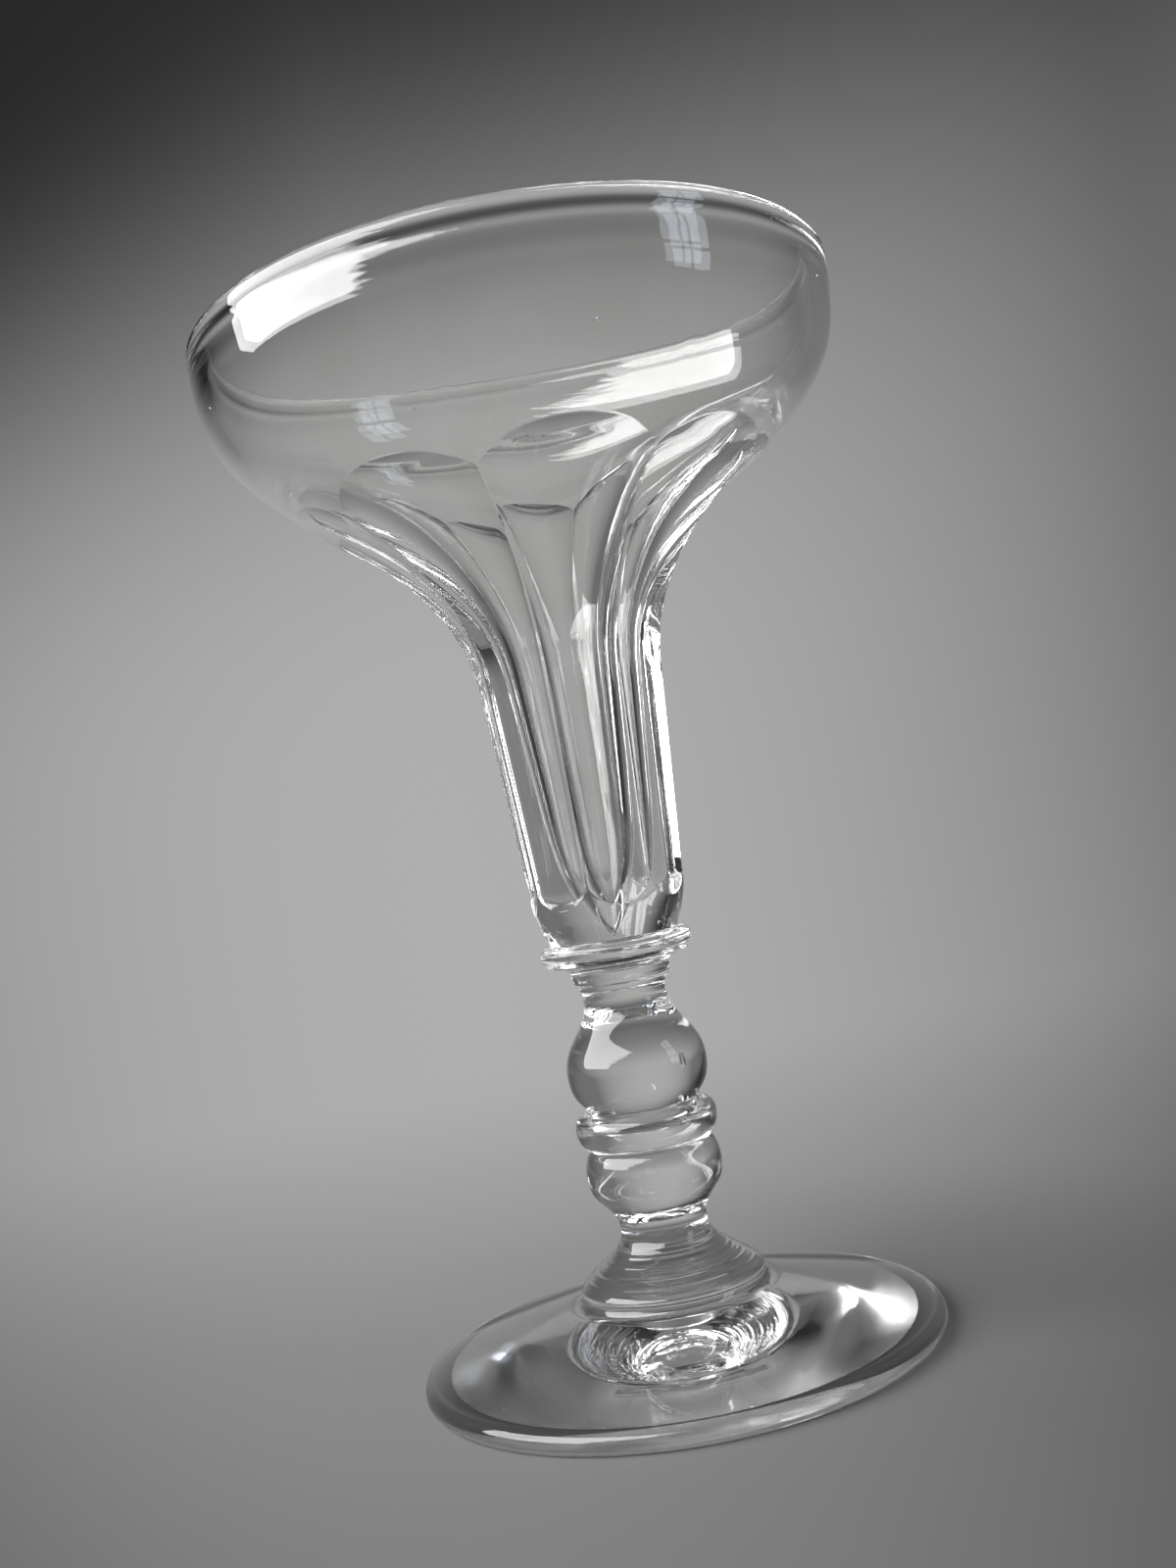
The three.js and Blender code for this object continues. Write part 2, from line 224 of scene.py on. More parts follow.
class Outline:
    """Half of a turned section, drawn stretch by stretch as points of radius and height."""

    def __init__(self, radius, height, row=ROW):
        self.points = [Vector((radius, 0.0, height))]
        self.row = row

    def line_to(self, radius, height):
        """A straight stretch, in rows."""
        start = self.points[-1]
        end = Vector((radius, 0.0, height))
        rows = max(1, round((end - start).length / self.row))
        self.points.extend(start.lerp(end, i / rows) for i in range(1, rows + 1))

    def jump_to(self, radius, height):
        """A straight stretch of one row, for a face that doesn't show."""
        self.points.append(Vector((radius, 0.0, height)))

    def bend_to(self, first, second, end):
        """A curve with two handles, each a pair of radius and height."""
        corners = [self.points[-1]] + [Vector((r, 0.0, z)) for r, z in (first, second, end)]
        span = sum((b - a).length for a, b in zip(corners, corners[1:]))
        rows = max(FEWEST_ROWS, round(span / self.row))
        self.points.extend(interpolate_bezier(*corners, rows + 1)[1:])

    def round_to(self, corner, end):
        """A curve that leaves towards a corner and comes in from it, both pairs of radius and height."""
        r, _, z = self.points[-1]
        first, second = (
            [(a + 2 * b) / 3 for a, b in zip(point, corner)] for point in ((r, z), end)
        )
        self.bend_to(first, second, end)

    def swell_to(self, radius, height, lift=LEVEL):
        """Swells out to an upright tangent; lift tilts the start of the curve up."""
        r, _, z = self.points[-1]
        self.bend_to(
            (r + ROUND * (radius - r), z + lift * (height - z)),
            (radius, height - ROUND * (height - z)),
            (radius, height),
        )

    def draw_in_to(self, radius, height, lift=LEVEL):
        """Leaves upright and draws in; lift tilts the end of the curve."""
        r, _, z = self.points[-1]
        self.bend_to(
            (r, z + ROUND * (height - z)),
            (radius + ROUND * (r - radius), height - lift * (height - z)),
            (radius, height),
        )

    def ease_to(self, radius, height, start, end):
        """From one slope of radius over height to another, each kept for its own share of the rise."""
        r, _, z = self.points[-1]
        start_slope, start_hold = start
        end_slope, end_hold = end
        start_rise = start_hold * (height - z)
        end_rise = end_hold * (height - z)
        self.bend_to(
            (r + start_slope * start_rise, z + start_rise),
            (radius - end_slope * end_rise, height - end_rise),
            (radius, height),
        )

    def groove(self, first, pitch, depth):
        """Tool marks of two pitches from one point to the end, fading at both ends of the stretch."""
        stretch = self.points[first:]
        travelled = 0.0
        total = sum((b - a).length for a, b in zip(stretch, stretch[1:]))
        marked = [stretch[0]]
        for a, b in zip(stretch, stretch[1:]):
            travelled += (b - a).length
            along = (b - a).normalized()
            across = Vector((along.z, 0.0, -along.x))
            fade = math.sin(math.pi * travelled / total)
            phase = math.tau * travelled / pitch
            mark = math.sin(phase) + math.sin(phase / SECOND_PITCH)
            marked.append(b + across * depth * fade * mark)
        self.points[first:] = marked

    def radius_at(self, height):
        """Radius at a height, on an outline that only rises."""
        heights = self.heights
        i = min(max(bisect_left(heights, height), 1), len(heights) - 1)
        a, b = self.points[i - 1], self.points[i]
        share = (height - a.z) / (b.z - a.z)
        return a.x + share * (b.x - a.x)

    def settle(self):
        """Orders a finished outline by height, for radius_at."""
        self.points.sort(key=lambda point: point.z)
        self.heights = [point.z for point in self.points]
        return self

    def soften(self):
        """Runs the stretches of a settled outline into each other, so that light crosses no joint."""
        low, high = self.heights[0], self.heights[-1]
        eased = []
        for point in self.points:
            near = min(SOFT_REACH, point.z - low, high - point.z)
            around = [
                self.radius_at(point.z + near * step / SOFT_STEPS)
                for step in range(-SOFT_STEPS, SOFT_STEPS + 1)
            ]
            eased.append(Vector((sum(around) / len(around), 0.0, point.z)))
        self.points = eased
        return self

    def shares(self, low, high, rows):
        """Heights of evenly spaced rows between two heights, as shares of the rise."""
        steps = rows * SHARE_STEPS
        heights = [low + (high - low) * i / steps for i in range(steps + 1)]
        lengths = [0.0]
        for a, b in zip(heights, heights[1:]):
            lengths.append(lengths[-1] + math.hypot(b - a, self.radius_at(b) - self.radius_at(a)))
        found = []
        for row in range(rows + 1):
            i = min(max(bisect_left(lengths, lengths[-1] * row / rows), 1), steps)
            span = lengths[i] - lengths[i - 1]
            part = (lengths[-1] * row / rows - lengths[i - 1]) / span
            found.append((i - 1 + part) / steps)
        return found


def turn(points):
    """A closed bmesh of an outline that starts and ends on the axis, turned once round it.

    A vertex keeps the number of its row in the layer that is returned beside it.
    """
    bm = bmesh.new()
    rows = bm.verts.layers.int.new("row")
    verts = []
    for row, point in enumerate(points):
        vert = bm.verts.new(point)
        vert[rows] = row
        verts.append(vert)
    edges = [bm.edges.new(pair) for pair in zip(verts, verts[1:])]
    bmesh.ops.spin(
        bm, geom=verts + edges, cent=(0, 0, 0), axis=(0, 0, 1), dvec=(0, 0, 0),
        angle=math.tau, steps=COLUMNS, use_merge=True,
    )
    bmesh.ops.remove_doubles(bm, verts=bm.verts, dist=WELD)
    bmesh.ops.recalc_face_normals(bm, faces=bm.faces)
    return bm, rows


def wave(bm, height, length, seals):
    """Moves the surface in and out by smooth waves that fade towards the seals."""
    bm.normal_update()
    moves = {}
    for vert in bm.verts:
        gap = min(abs(vert.co.z - seal) for seal in seals)
        fade = min(1.0, gap / length)
        moves[vert] = vert.normal * noise.noise(vert.co / length) * height * fade
    for vert, move in moves.items():
        vert.co += move


def add_bubble(bm, centre, width, length):
    """A closed void in the glass, longer than wide, with its faces turned towards the air in it."""
    shape = Matrix.LocRotScale(Vector(centre), None, Vector((width, width, length)) / 2)
    made = bmesh.ops.create_icosphere(
        bm, subdivisions=BUBBLE_SUBDIVISIONS, radius=1.0, matrix=shape
    )
    faces = {face for vert in made["verts"] for face in vert.link_faces}
    bmesh.ops.reverse_faces(bm, faces=list(faces))


def sharpen_border(faces):
    """Keeps the shading of a set of faces apart from that of the faces round it."""
    for face in faces:
        for edge in face.edges:
            if any(other not in faces for other in edge.link_faces):
                edge.smooth = False


def add_object(bm, name, materials):
    """A smooth object of a finished mesh."""
    for face in bm.faces:
        face.smooth = True
    mesh = bpy.data.meshes.new(name)
    bm.to_mesh(mesh)
    bm.free()
    for material in materials:
        mesh.materials.append(material)
    made = bpy.data.objects.new(name, mesh)
    bpy.context.scene.collection.objects.link(made)
    return made


def finish_piece(bm, name, node, glass, base, seals):
    """Makes the object of a gather: its glass outside, and seals that light crosses unchanged.

    The mesh and its seals are given above the base of the gather.
    """
    sealed = set()
    for face in bm.faces:
        for seal in seals:
            if all(abs(vert.co.z - seal) < SEAL_REACH for vert in face.verts):
                face.material_index = 1
                sealed.add(face)
    sharpen_border(sealed)
    bmesh.ops.translate(bm, verts=bm.verts, vec=(0, 0, base))
    piece = add_object(bm, name, (glass, seal_finish()))
    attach(piece, BODY)
    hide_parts(node)


def math_step(operation, reflected=False):
    """A method of Field that adds one Math node; reflected puts the other value first."""

    def step(self, *others):
        values = (*others, self) if reflected else (self, *others)
        return self.graph.math(operation, *values)

    return step


class Field:
    """A value that changes over a surface, as a node's socket that takes part in sums."""

    def __init__(self, graph, socket):
        self.graph = graph
        self.socket = socket

    __add__ = __radd__ = math_step("ADD")
    __mul__ = __rmul__ = math_step("MULTIPLY")
    __sub__ = math_step("SUBTRACT")
    __rsub__ = math_step("SUBTRACT", reflected=True)
    __truediv__ = math_step("DIVIDE")
    __rtruediv__ = math_step("DIVIDE", reflected=True)
    __pow__ = math_step("POWER")
    __lt__ = math_step("LESS_THAN")
    __gt__ = math_step("GREATER_THAN")
    at_least = math_step("MAXIMUM")
    at_least_softly = math_step("SMOOTH_MAX")
    at_most = math_step("MINIMUM")
    fraction = math_step("FRACT")
    power_of_e = math_step("EXPONENT")

    def rise(self, low, high):
        """A smooth step from 0 to 1 between two values."""
        limits = {"Value": self, "From Min": low, "From Max": high}
        return self.graph.node("ShaderNodeMapRange", limits, interpolation_type="SMOOTHSTEP")


class ShaderGraph:
    """The nodes of one material, light or world."""

    def __init__(self, owner):
        owner.use_nodes = True
        self.tree = owner.node_tree
        self.tree.nodes.clear()

    def node(self, kind, inputs, output=0, **settings):
        """Adds a node, sets it up, feeds its sockets and returns one of its outputs."""
        node = self.tree.nodes.new(kind)
        for name, value in settings.items():
            setattr(node, name, value)
        for name, value in inputs.items():
            if isinstance(value, Field):
                self.tree.links.new(value.socket, node.inputs[name])
            else:
                node.inputs[name].default_value = value
        return Field(self, node.outputs[output]) if node.outputs else None

    def outputs(self, kind, inputs, names):
        """Adds a node and returns several of its outputs."""
        first = self.node(kind, inputs)
        found = first.socket.node.outputs
        return [Field(self, found[name]) for name in names]

    def math(self, operation, *values):
        """One step of arithmetic."""
        return self.node("ShaderNodeMath", dict(enumerate(values)), operation=operation)

    def place(self):
        """Where a point is, in metres in the frame of the object."""
        return self.node("ShaderNodeTexCoord", {}, "Object")

    def axes(self, vector):
        """The three parts of a vector."""
        return self.outputs("ShaderNodeSeparateXYZ", {0: vector}, "XYZ")

    def vector(self, x, y, z):
        """A vector of three parts."""
        return self.node("ShaderNodeCombineXYZ", {0: x, 1: y, 2: z})

    def cloud(self, vector, scale, detail):
        """A soft noise from 0 to 1."""
        return self.node("ShaderNodeTexNoise", {"Vector": vector, "Scale": scale, "Detail": detail})

    def blend(self, share, first, second):
        """A mix of two colours."""
        return self.node("ShaderNodeMix", {0: share, 6: first, 7: second}, 2, data_type="RGBA")

    def scale(self, colour, share):
        """A colour made darker by a share."""
        return self.node("ShaderNodeVectorMath", {0: colour, "Scale": share}, operation="SCALE")


def opaque(colour):
    """A colour with its fourth number."""
    return (*colour, 1.0)


def seal_finish():
    """What is left of a seal once the gathers have run together: nothing that light would notice."""
    name = "sealed_glass"
    found = bpy.data.materials.get(name)
    if found:
        return found
    material = bpy.data.materials.new(name)
    graph = ShaderGraph(material)
    surface = graph.node("ShaderNodeBsdfPrincipled", {"Alpha": 0.0})
    graph.node("ShaderNodeOutputMaterial", {"Surface": surface})
    return material


class Marks:
    """Fineness of the marks on the glass, in features to a metre, and where they show."""

    WALL_ROUND, WALL_UP, WALL_DETAIL = 55.0, 620.0, 1.0
    FOOT_ROUND, FOOT_OUT, FOOT_DETAIL = 90.0, 1000.0, 2.5
    FOOT_RADIUS = (0.012, 0.018)
    FOOT_TOP, FOOT_TOP_LOSS = (0.0022, 0.0034), 0.8
    FOOT_LEAST = 0.06
    WORN_HEIGHT = 0.0006
    CLOUDS, CLOUD_DETAIL, CLOUD_RANGE = 70.0, 2.0, (0.45, 0.75)
    SPECKS, SPECK_SIZE, SPECK_CHANCE = 260.0, 0.022, 0.8
    PATCHES, PATCH_DETAIL, PATCH_CHANCE = 240.0, 1.0, 0.7
    SCRATCHES, SCRATCH_LINE = 170.0, 0.9995
    SCRATCH_BEND, SCRATCH_DETAIL, SCRATCH_DETAIL_SCALE = 3.0, 1.0, 0.6


def wall_marks(graph, place):
    """Fine marks of blowing that lie level round upright walls."""
    x, y, z = graph.axes(place)
    stretched = graph.vector(x * Marks.WALL_ROUND, y * Marks.WALL_ROUND, z * Marks.WALL_UP)
    return graph.cloud(stretched, 1.0, Marks.WALL_DETAIL)


def foot_marks(graph, place):
    """Rings left by spreading the foot, deep under its disc and faint on top and in the middle."""
    x, y, z = graph.axes(place)
    radius = (x * x + y * y) ** 0.5
    stretched = graph.vector(radius * Marks.FOOT_OUT, x * Marks.FOOT_ROUND, y * Marks.FOOT_ROUND)
    under = radius.rise(*Marks.FOOT_RADIUS) - z.rise(*Marks.FOOT_TOP) * Marks.FOOT_TOP_LOSS
    return graph.cloud(stretched, 1.0, Marks.FOOT_DETAIL) * under.at_least(Marks.FOOT_LEAST)


def specks(graph, place):
    """One on each grain of dust or pit, and nought elsewhere."""
    distance, colour = graph.outputs(
        "ShaderNodeTexVoronoi", {"Vector": place, "Scale": Marks.SPECKS}, ("Distance", "Color")
    )
    return (distance < Marks.SPECK_SIZE) * (graph.axes(colour)[0] > Marks.SPECK_CHANCE)


def scratches(graph, place):
    """One along short fine lines here and there, and nought elsewhere."""
    patches = graph.cloud(place, Marks.PATCHES, Marks.PATCH_DETAIL)
    lines = graph.node(
        "ShaderNodeTexWave",
        {
            "Vector": place,
            "Scale": Marks.SCRATCHES,
            "Distortion": Marks.SCRATCH_BEND,
            "Detail": Marks.SCRATCH_DETAIL,
            "Detail Scale": Marks.SCRATCH_DETAIL_SCALE,
        },
        bands_direction="DIAGONAL",
    )
    return (lines > Marks.SCRATCH_LINE) * (patches > Marks.PATCH_CHANCE)


def glass_finish(name, spread=False):
    """Clear glass with faint cloudiness, fine marks, scratches and specks; spread is for the foot."""
    looks = bpy.context.scene.coupe_glass
    material = bpy.data.materials.new(name)
    graph = ShaderGraph(material)
    place = graph.place()
    roughness = specks(graph, place) * looks.speck_roughness
    roughness = roughness + scratches(graph, place) * looks.scratch_roughness
    if spread:
        marks, depth = foot_marks(graph, place), looks.turning_depth
        worn = 1.0 - graph.axes(place)[2].rise(0.0, Marks.WORN_HEIGHT)
        roughness = roughness + worn * looks.wear_roughness
    else:
        marks, depth = wall_marks(graph, place), looks.striation_depth
    dullness = graph.cloud(place, Marks.CLOUDS, Marks.CLOUD_DETAIL).rise(*Marks.CLOUD_RANGE)
    surface = graph.node(
        "ShaderNodeBsdfPrincipled",
        {
            "Base Color": graph.blend(dullness, opaque(looks.clear), opaque(looks.dull)),
            "Roughness": roughness.at_most(1.0),
            "Normal": graph.node("ShaderNodeBump", {"Height": marks, "Strength": 1.0, "Distance": depth}),
            "IOR": looks.ior,
            "Transmission Weight": 1.0,
        },
    )
    graph.node("ShaderNodeOutputMaterial", {"Surface": surface})
    return material


def span(node):
    """Height of the base, rise and widest radius of a gather, from the frame."""
    low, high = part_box(node)
    return low.z, high.z - low.z, high.x


class CutOutside:
    """The outside of the bowl: a turned blank with evenly spaced panels cut into it.

    It is laid out in rows that run round the bowl. Each is a share of the base, the panels or the cup.
    """

    BASE_ROWS, PANEL_ROWS, CUP_ROWS = 10, 130, 80
    HALVINGS = 40
    ANGLE_DIGITS = 5
    RIDGE_REACH = 1e-3
    # Marks round the rim: distance below the lip, half width and depth
    RIM_MARKS = ((0.0019, 0.0012, 0.00015), (0.0056, 0.0019, 0.00003))

    def __init__(self, settings, blank, flat, lip_height):
        self.settings = settings
        self.blank = blank
        self.flat = flat
        self.lip_height = lip_height
        self.pitch = math.tau / settings.panels
        self.known = {}
        ends = self.ends(0.0)
        self.rows = (
            [("base", share) for share in blank.shares(*ends["base"], self.BASE_ROWS)[:-1]]
            + [("panel", share) for share in flat.shares(*ends["panel"], self.PANEL_ROWS)]
            + [("cup", share) for share in blank.shares(*ends["cup"], self.CUP_ROWS)[1:]]
        )

    def turn_off(self, angle):
        """Angle off the middle of the nearest panel."""
        return (angle - FRONT + self.pitch / 2) % self.pitch - self.pitch / 2

    def run_outs(self, turn_off):
        """Heights at which a panel leaves the blank below and above, at an angle off its middle."""
        s = self.settings
        found = []
        for end in (s.base_height - s.overrun, s.crown_height + s.overrun):
            inside, outside = s.shaft_top_height, end
            for _ in range(self.HALVINGS):
                height = (inside + outside) / 2
                if self.blank.radius_at(height) * math.cos(turn_off) > self.flat.radius_at(height):
                    inside = height
                else:
                    outside = height
            found.append((inside + outside) / 2)
        return found

    def ends(self, turn_off):
        """Where the base, a panel and the cup start and end, at an angle off the panel's middle."""
        key = round(abs(turn_off), self.ANGLE_DIGITS)
        if key not in self.known:
            low, high = self.run_outs(key)
            self.known[key] = {"base": (0.0, low), "panel": (low, high), "cup": (high, self.lip_height)}
        return self.known[key]

    def pressed_in(self, below):
        """How far the wall is pressed in at a distance below the lip."""
        total = 0.0
        for centre, half_width, depth in self.RIM_MARKS:
            share = min(1.0, abs(below - centre) / half_width)
            total += depth * math.cos(share * math.pi / 2) ** 2
        return total

    def point(self, row, angle):
        """Radius and height of a row at an angle round the axis."""
        part, share = self.rows[row]
        turn_off = self.turn_off(angle)
        start, end = self.ends(turn_off)[part]
        height = start + share * (end - start)
        if part == "panel":
            return self.flat.radius_at(height) / math.cos(turn_off), height
        return self.blank.radius_at(height) - self.pressed_in(self.lip_height - height), height

    def is_ridge(self, angle):
        """Whether two panels meet at an angle round the axis."""
        return abs(abs(self.turn_off(angle)) - self.pitch / 2) < self.RIDGE_REACH


class COUPE_OT_bowl(Operator):
    """Blows the bowl and its hollow stem, and cuts the panels"""

    bl_idname = "coupe.bowl"
    bl_label = "Bowl"

    # Slopes of radius over height, and how much of a stretch holds the slope at one of its ends
    CUT_SLOPE, FLOOR_SLOPE = 2.6, 1.6
    BASE, CROWN, CUT, WALL = (0.35, 0.1), (1.11, 0.36), (CUT_SLOPE, 0.14), (UPRIGHT, 0.57)
    SHAFT_HOLD, FLARE_HOLD, CUT_FLARE_HOLD = 0.45, 0.41, 0.44
    CUP, FLOOR, FUNNEL_TOP, TIP = (UPRIGHT, 0.5), (FLOOR_SLOPE, 0.4), (FLOOR_SLOPE, 0.24), (0.57, 0.36)
    FUNNEL_HOLD, SHOULDER_HOLD = 0.51, 0.4
    RIDGE_SEGMENTS = 2
    WAVE_LENGTH = 0.016
    # Tiny bubbles in the cup: each one further round and up, deeper in the wall and larger than the last
    SEEDS, SEED_TURN, SEED_STRETCH = 7, 2.4, 1.6
    SEED_HEIGHT, SEED_HEIGHT_STEP = 0.15, 0.12
    SEED_DEPTH, SEED_DEPTH_STEP = 0.35, 0.05
    SEED_WIDTH, SEED_WIDTH_STEP = 0.00022, 0.00003

    def blank(self, s, seal, rim, lip_height):
        """Outside of the bowl before cutting."""
        slope = self.slope(s)
        shaft_top = s.shaft_top_flat / math.cos(math.pi / s.panels) + s.grinding_depth
        outline = Outline(seal, 0.0, FINE_ROW)
        outline.line_to(s.base_radius, s.base_height)
        outline.ease_to(shaft_top, s.shaft_top_height, self.BASE, (slope, self.SHAFT_HOLD))
        outline.ease_to(s.crown_radius, s.crown_height, (slope, self.FLARE_HOLD), self.CROWN)
        outline.ease_to(rim, lip_height, self.CROWN, self.WALL)
        return outline.settle().soften()

    def flat(self, s):
        """Middle line of one cut panel, from its run-out on the base to past its crown."""
        outline = Outline(s.base_radius + s.overrun, s.base_height - s.overrun, FINE_ROW)
        foot = s.shaft_foot_flat
        outline.round_to((foot, s.base_height), (foot, s.shaft_foot_height))
        outline.line_to(s.shaft_top_flat, s.shaft_top_height)
        outline.ease_to(s.crown_radius, s.crown_height, (self.slope(s), self.CUT_FLARE_HOLD), self.CUT)
        outline.line_to(s.crown_radius + self.CUT_SLOPE * s.overrun, s.crown_height + s.overrun)
        return outline.settle().soften()

    def slope(self, s):
        """How fast the flats of the shaft lean out as they rise."""
        return (s.shaft_top_flat - s.shaft_foot_flat) / (s.shaft_top_height - s.shaft_foot_height)

    def hollow(self, s, rim, lip_height):
        """Inside of the bowl, from the lip down to the drawn-out tip on the axis."""
        throat = s.shaft_top_flat - s.shaft_top_wall
        rise = s.shoulder_height - s.shaft_foot_height
        shoulder = s.shaft_foot_flat + self.slope(s) * rise - s.shoulder_wall
        slope = (throat - shoulder) / (s.shaft_top_height - s.shoulder_height)
        outline = Outline(rim - s.rim_wall, lip_height)
        outline.ease_to(s.crown_radius - s.crown_wall, s.crown_height, self.CUP, self.FLOOR)
        outline.ease_to(throat, s.shaft_top_height, self.FUNNEL_TOP, (slope, self.FUNNEL_HOLD))
        outline.line_to(shoulder, s.shoulder_height)
        outline.ease_to(0.0, s.tip_floor, (slope, self.SHOULDER_HOLD), self.TIP)
        return outline.settle().soften().points[::-1]

    def cut(self, bm, rows, outside):
        """Moves the rows of the outside from a turned shape to the cut one."""
        for vert in bm.verts:
            row = vert[rows] - 1
            if 0 <= row < len(outside.rows):
                angle = math.atan2(vert.co.y, vert.co.x)
                radius, height = outside.point(row, angle)
                vert.co = (radius * math.cos(angle), radius * math.sin(angle), height)

    def wear(self, bm, rows, outside, offset):
        """Rounds the ridges between the panels, and the arches where they run out."""
        first = outside.BASE_ROWS + 1
        last = first + outside.PANEL_ROWS
        edges = []
        for edge in bm.edges:
            lower, upper = sorted(edge.verts, key=lambda vert: vert[rows])
            if lower[rows] == upper[rows]:
                sharp = lower[rows] in (first, last)
            else:
                angle = math.atan2(lower.co.y, lower.co.x)
                sharp = first <= lower[rows] and upper[rows] <= last and outside.is_ridge(angle)
            if sharp:
                edges.append(edge)
        worn = bmesh.ops.bevel(
            bm, geom=edges, offset=offset, offset_type="OFFSET", segments=self.RIDGE_SEGMENTS,
            profile=0.5, affect="EDGES", material=-1, clamp_overlap=True,
        )
        sharpen_border(set(worn["faces"]))

    def add_seeds(self, bm, s, blank, lip_height):
        """Scatters tiny bubbles in the wall of the cup."""
        cup = lip_height - s.crown_height
        for i in range(self.SEEDS):
            angle = i * self.SEED_TURN
            height = s.crown_height + cup * (self.SEED_HEIGHT + self.SEED_HEIGHT_STEP * i)
            radius = blank.radius_at(height) - s.rim_wall * (self.SEED_DEPTH + self.SEED_DEPTH_STEP * i)
            width = self.SEED_WIDTH + self.SEED_WIDTH_STEP * i
            centre = (radius * math.cos(angle), radius * math.sin(angle), height)
            add_bubble(bm, centre, width, width * self.SEED_STRETCH)

    def execute(self, context):
        s = context.scene.coupe_bowl
        base, height, rim = span("bowl")
        lip_height = height - s.rim_wall / 2
        blank = self.blank(s, context.scene.coupe_seals.bowl, rim, lip_height)
        outside = CutOutside(s, blank, self.flat(s), lip_height)
        section = Outline(0.0, 0.0, FINE_ROW)
        for row in range(len(outside.rows)):
            section.jump_to(*outside.point(row, FRONT))
        section.draw_in_to(rim - s.rim_wall / 2, lip_height + s.rim_wall / 2)
        section.swell_to(rim - s.rim_wall, lip_height)
        section.points.extend(self.hollow(s, rim, lip_height)[1:])
        bm, rows = turn(section.points)
        self.cut(bm, rows, outside)
        self.wear(bm, rows, outside, s.ridge_round)
        wave(bm, s.waviness, self.WAVE_LENGTH, [0.0])
        self.add_seeds(bm, s, blank, lip_height)
        finish_piece(bm, "cut_bowl", "bowl", glass_finish("blown_glass"), base, [0.0])
        return {"FINISHED"}


class COUPE_OT_collar(Operator):
    """Tools the collar between the ball and the bowl"""

    bl_idname = "coupe.collar"
    bl_label = "Collar"

    BAND_SHARE = 0.28
    LIP_LIFT = 0.2
    # Second handle of the curve under the flange: share of its width, and drop in shares of the lip
    UNDERSIDE_REACH, UNDERSIDE_DROP = 0.4, 0.25
    SWAYS, SWAY_START = 2, 0.7
    WAVE_LENGTH = 0.008

    def execute(self, context):
        s = context.scene.coupe_stem
        seals = context.scene.coupe_seals
        base, height, flange = span("collar")
        lip_height = s.collar_belly - s.collar_lip
        band_height = height * self.BAND_SHARE
        outline = Outline(0.0, 0.0, FINE_ROW)
        outline.jump_to(seals.collar, 0.0)
        outline.swell_to(s.collar_band, band_height / 2)
        outline.line_to(s.collar_band, band_height)
        outline.bend_to(
            (s.collar_band, (band_height + lip_height) / 2),
            (
                s.collar_band + (flange - s.collar_band) * self.UNDERSIDE_REACH,
                lip_height - s.collar_lip * self.UNDERSIDE_DROP,
            ),
            (flange - s.collar_lip * ROUND, lip_height),
        )
        outline.swell_to(flange, s.collar_belly, self.LIP_LIFT)
        outline.draw_in_to(seals.bowl, height)
        outline.jump_to(0.0, height)
        bm, _ = turn(outline.points)
        for vert in bm.verts:
            angle = math.atan2(vert.co.y, vert.co.x)
            reach = max(0.0, (vert.co.xy.length - seals.bowl) / (flange - seals.bowl))
            if 0.0 < vert.co.z < height:
                vert.co.z += s.collar_sway * reach * math.sin(self.SWAYS * angle + self.SWAY_START)
        wave(bm, s.waviness, self.WAVE_LENGTH, [0.0, height])
        glass = glass_finish("tooled_glass_collar")
        finish_piece(bm, "tooled_collar", "collar", glass, base, [0.0, height])
        return {"FINISHED"}


class COUPE_OT_ball_knop(Operator):
    """Makes the ball with its neck and the bubble in it"""

    bl_idname = "coupe.ball_knop"
    bl_label = "Ball Knop"

    LIFT, NECK_LIFT = 0.25, 0.3
    BELLY, NECK = (UPRIGHT, 0.46), (UPRIGHT, 0.4)
    BUBBLE_PLACE = (0.0048, -0.0062, 0.0056)
    WAVE_LENGTH = 0.006

    def execute(self, context):
        s = context.scene.coupe_stem
        seals = context.scene.coupe_seals
        base, height, radius = span("ball_knop")
        outline = Outline(0.0, 0.0)
        outline.jump_to(seals.ball, 0.0)
        outline.swell_to(radius, s.ball_belly, self.LIFT)
        outline.ease_to(s.ball_neck_radius, height - s.ball_neck_length, self.BELLY, self.NECK)
        outline.draw_in_to(seals.collar, height, self.NECK_LIFT)
        outline.jump_to(0.0, height)
        bm, _ = turn(outline.points)
        wave(bm, s.waviness, self.WAVE_LENGTH, [0.0, height])
        add_bubble(bm, self.BUBBLE_PLACE, s.bubble_width, s.bubble_length)
        finish_piece(bm, "ball_gather", "ball_knop", glass_finish("ball_glass"), base, [0.0, height])
        return {"FINISHED"}


class COUPE_OT_ring_knop(Operator):
    """Presses the ring under the ball"""

    bl_idname = "coupe.ring_knop"
    bl_label = "Ring Knop"

    WAVE_LENGTH = 0.008

    def execute(self, context):
        s = context.scene.coupe_stem
        seals = context.scene.coupe_seals
        base, height, radius = span("ring_knop")
        outline = Outline(0.0, 0.0, FINE_ROW)
        outline.jump_to(seals.ring, 0.0)
        outline.swell_to(radius, s.ring_belly)
        outline.draw_in_to(seals.ball, height)
        outline.jump_to(0.0, height)
        bm, _ = turn(outline.points)
        wave(bm, s.waviness, self.WAVE_LENGTH, [0.0, height])
        finish_piece(bm, "pressed_ring", "ring_knop", glass_finish("ring_glass"), base, [0.0, height])
        return {"FINISHED"}


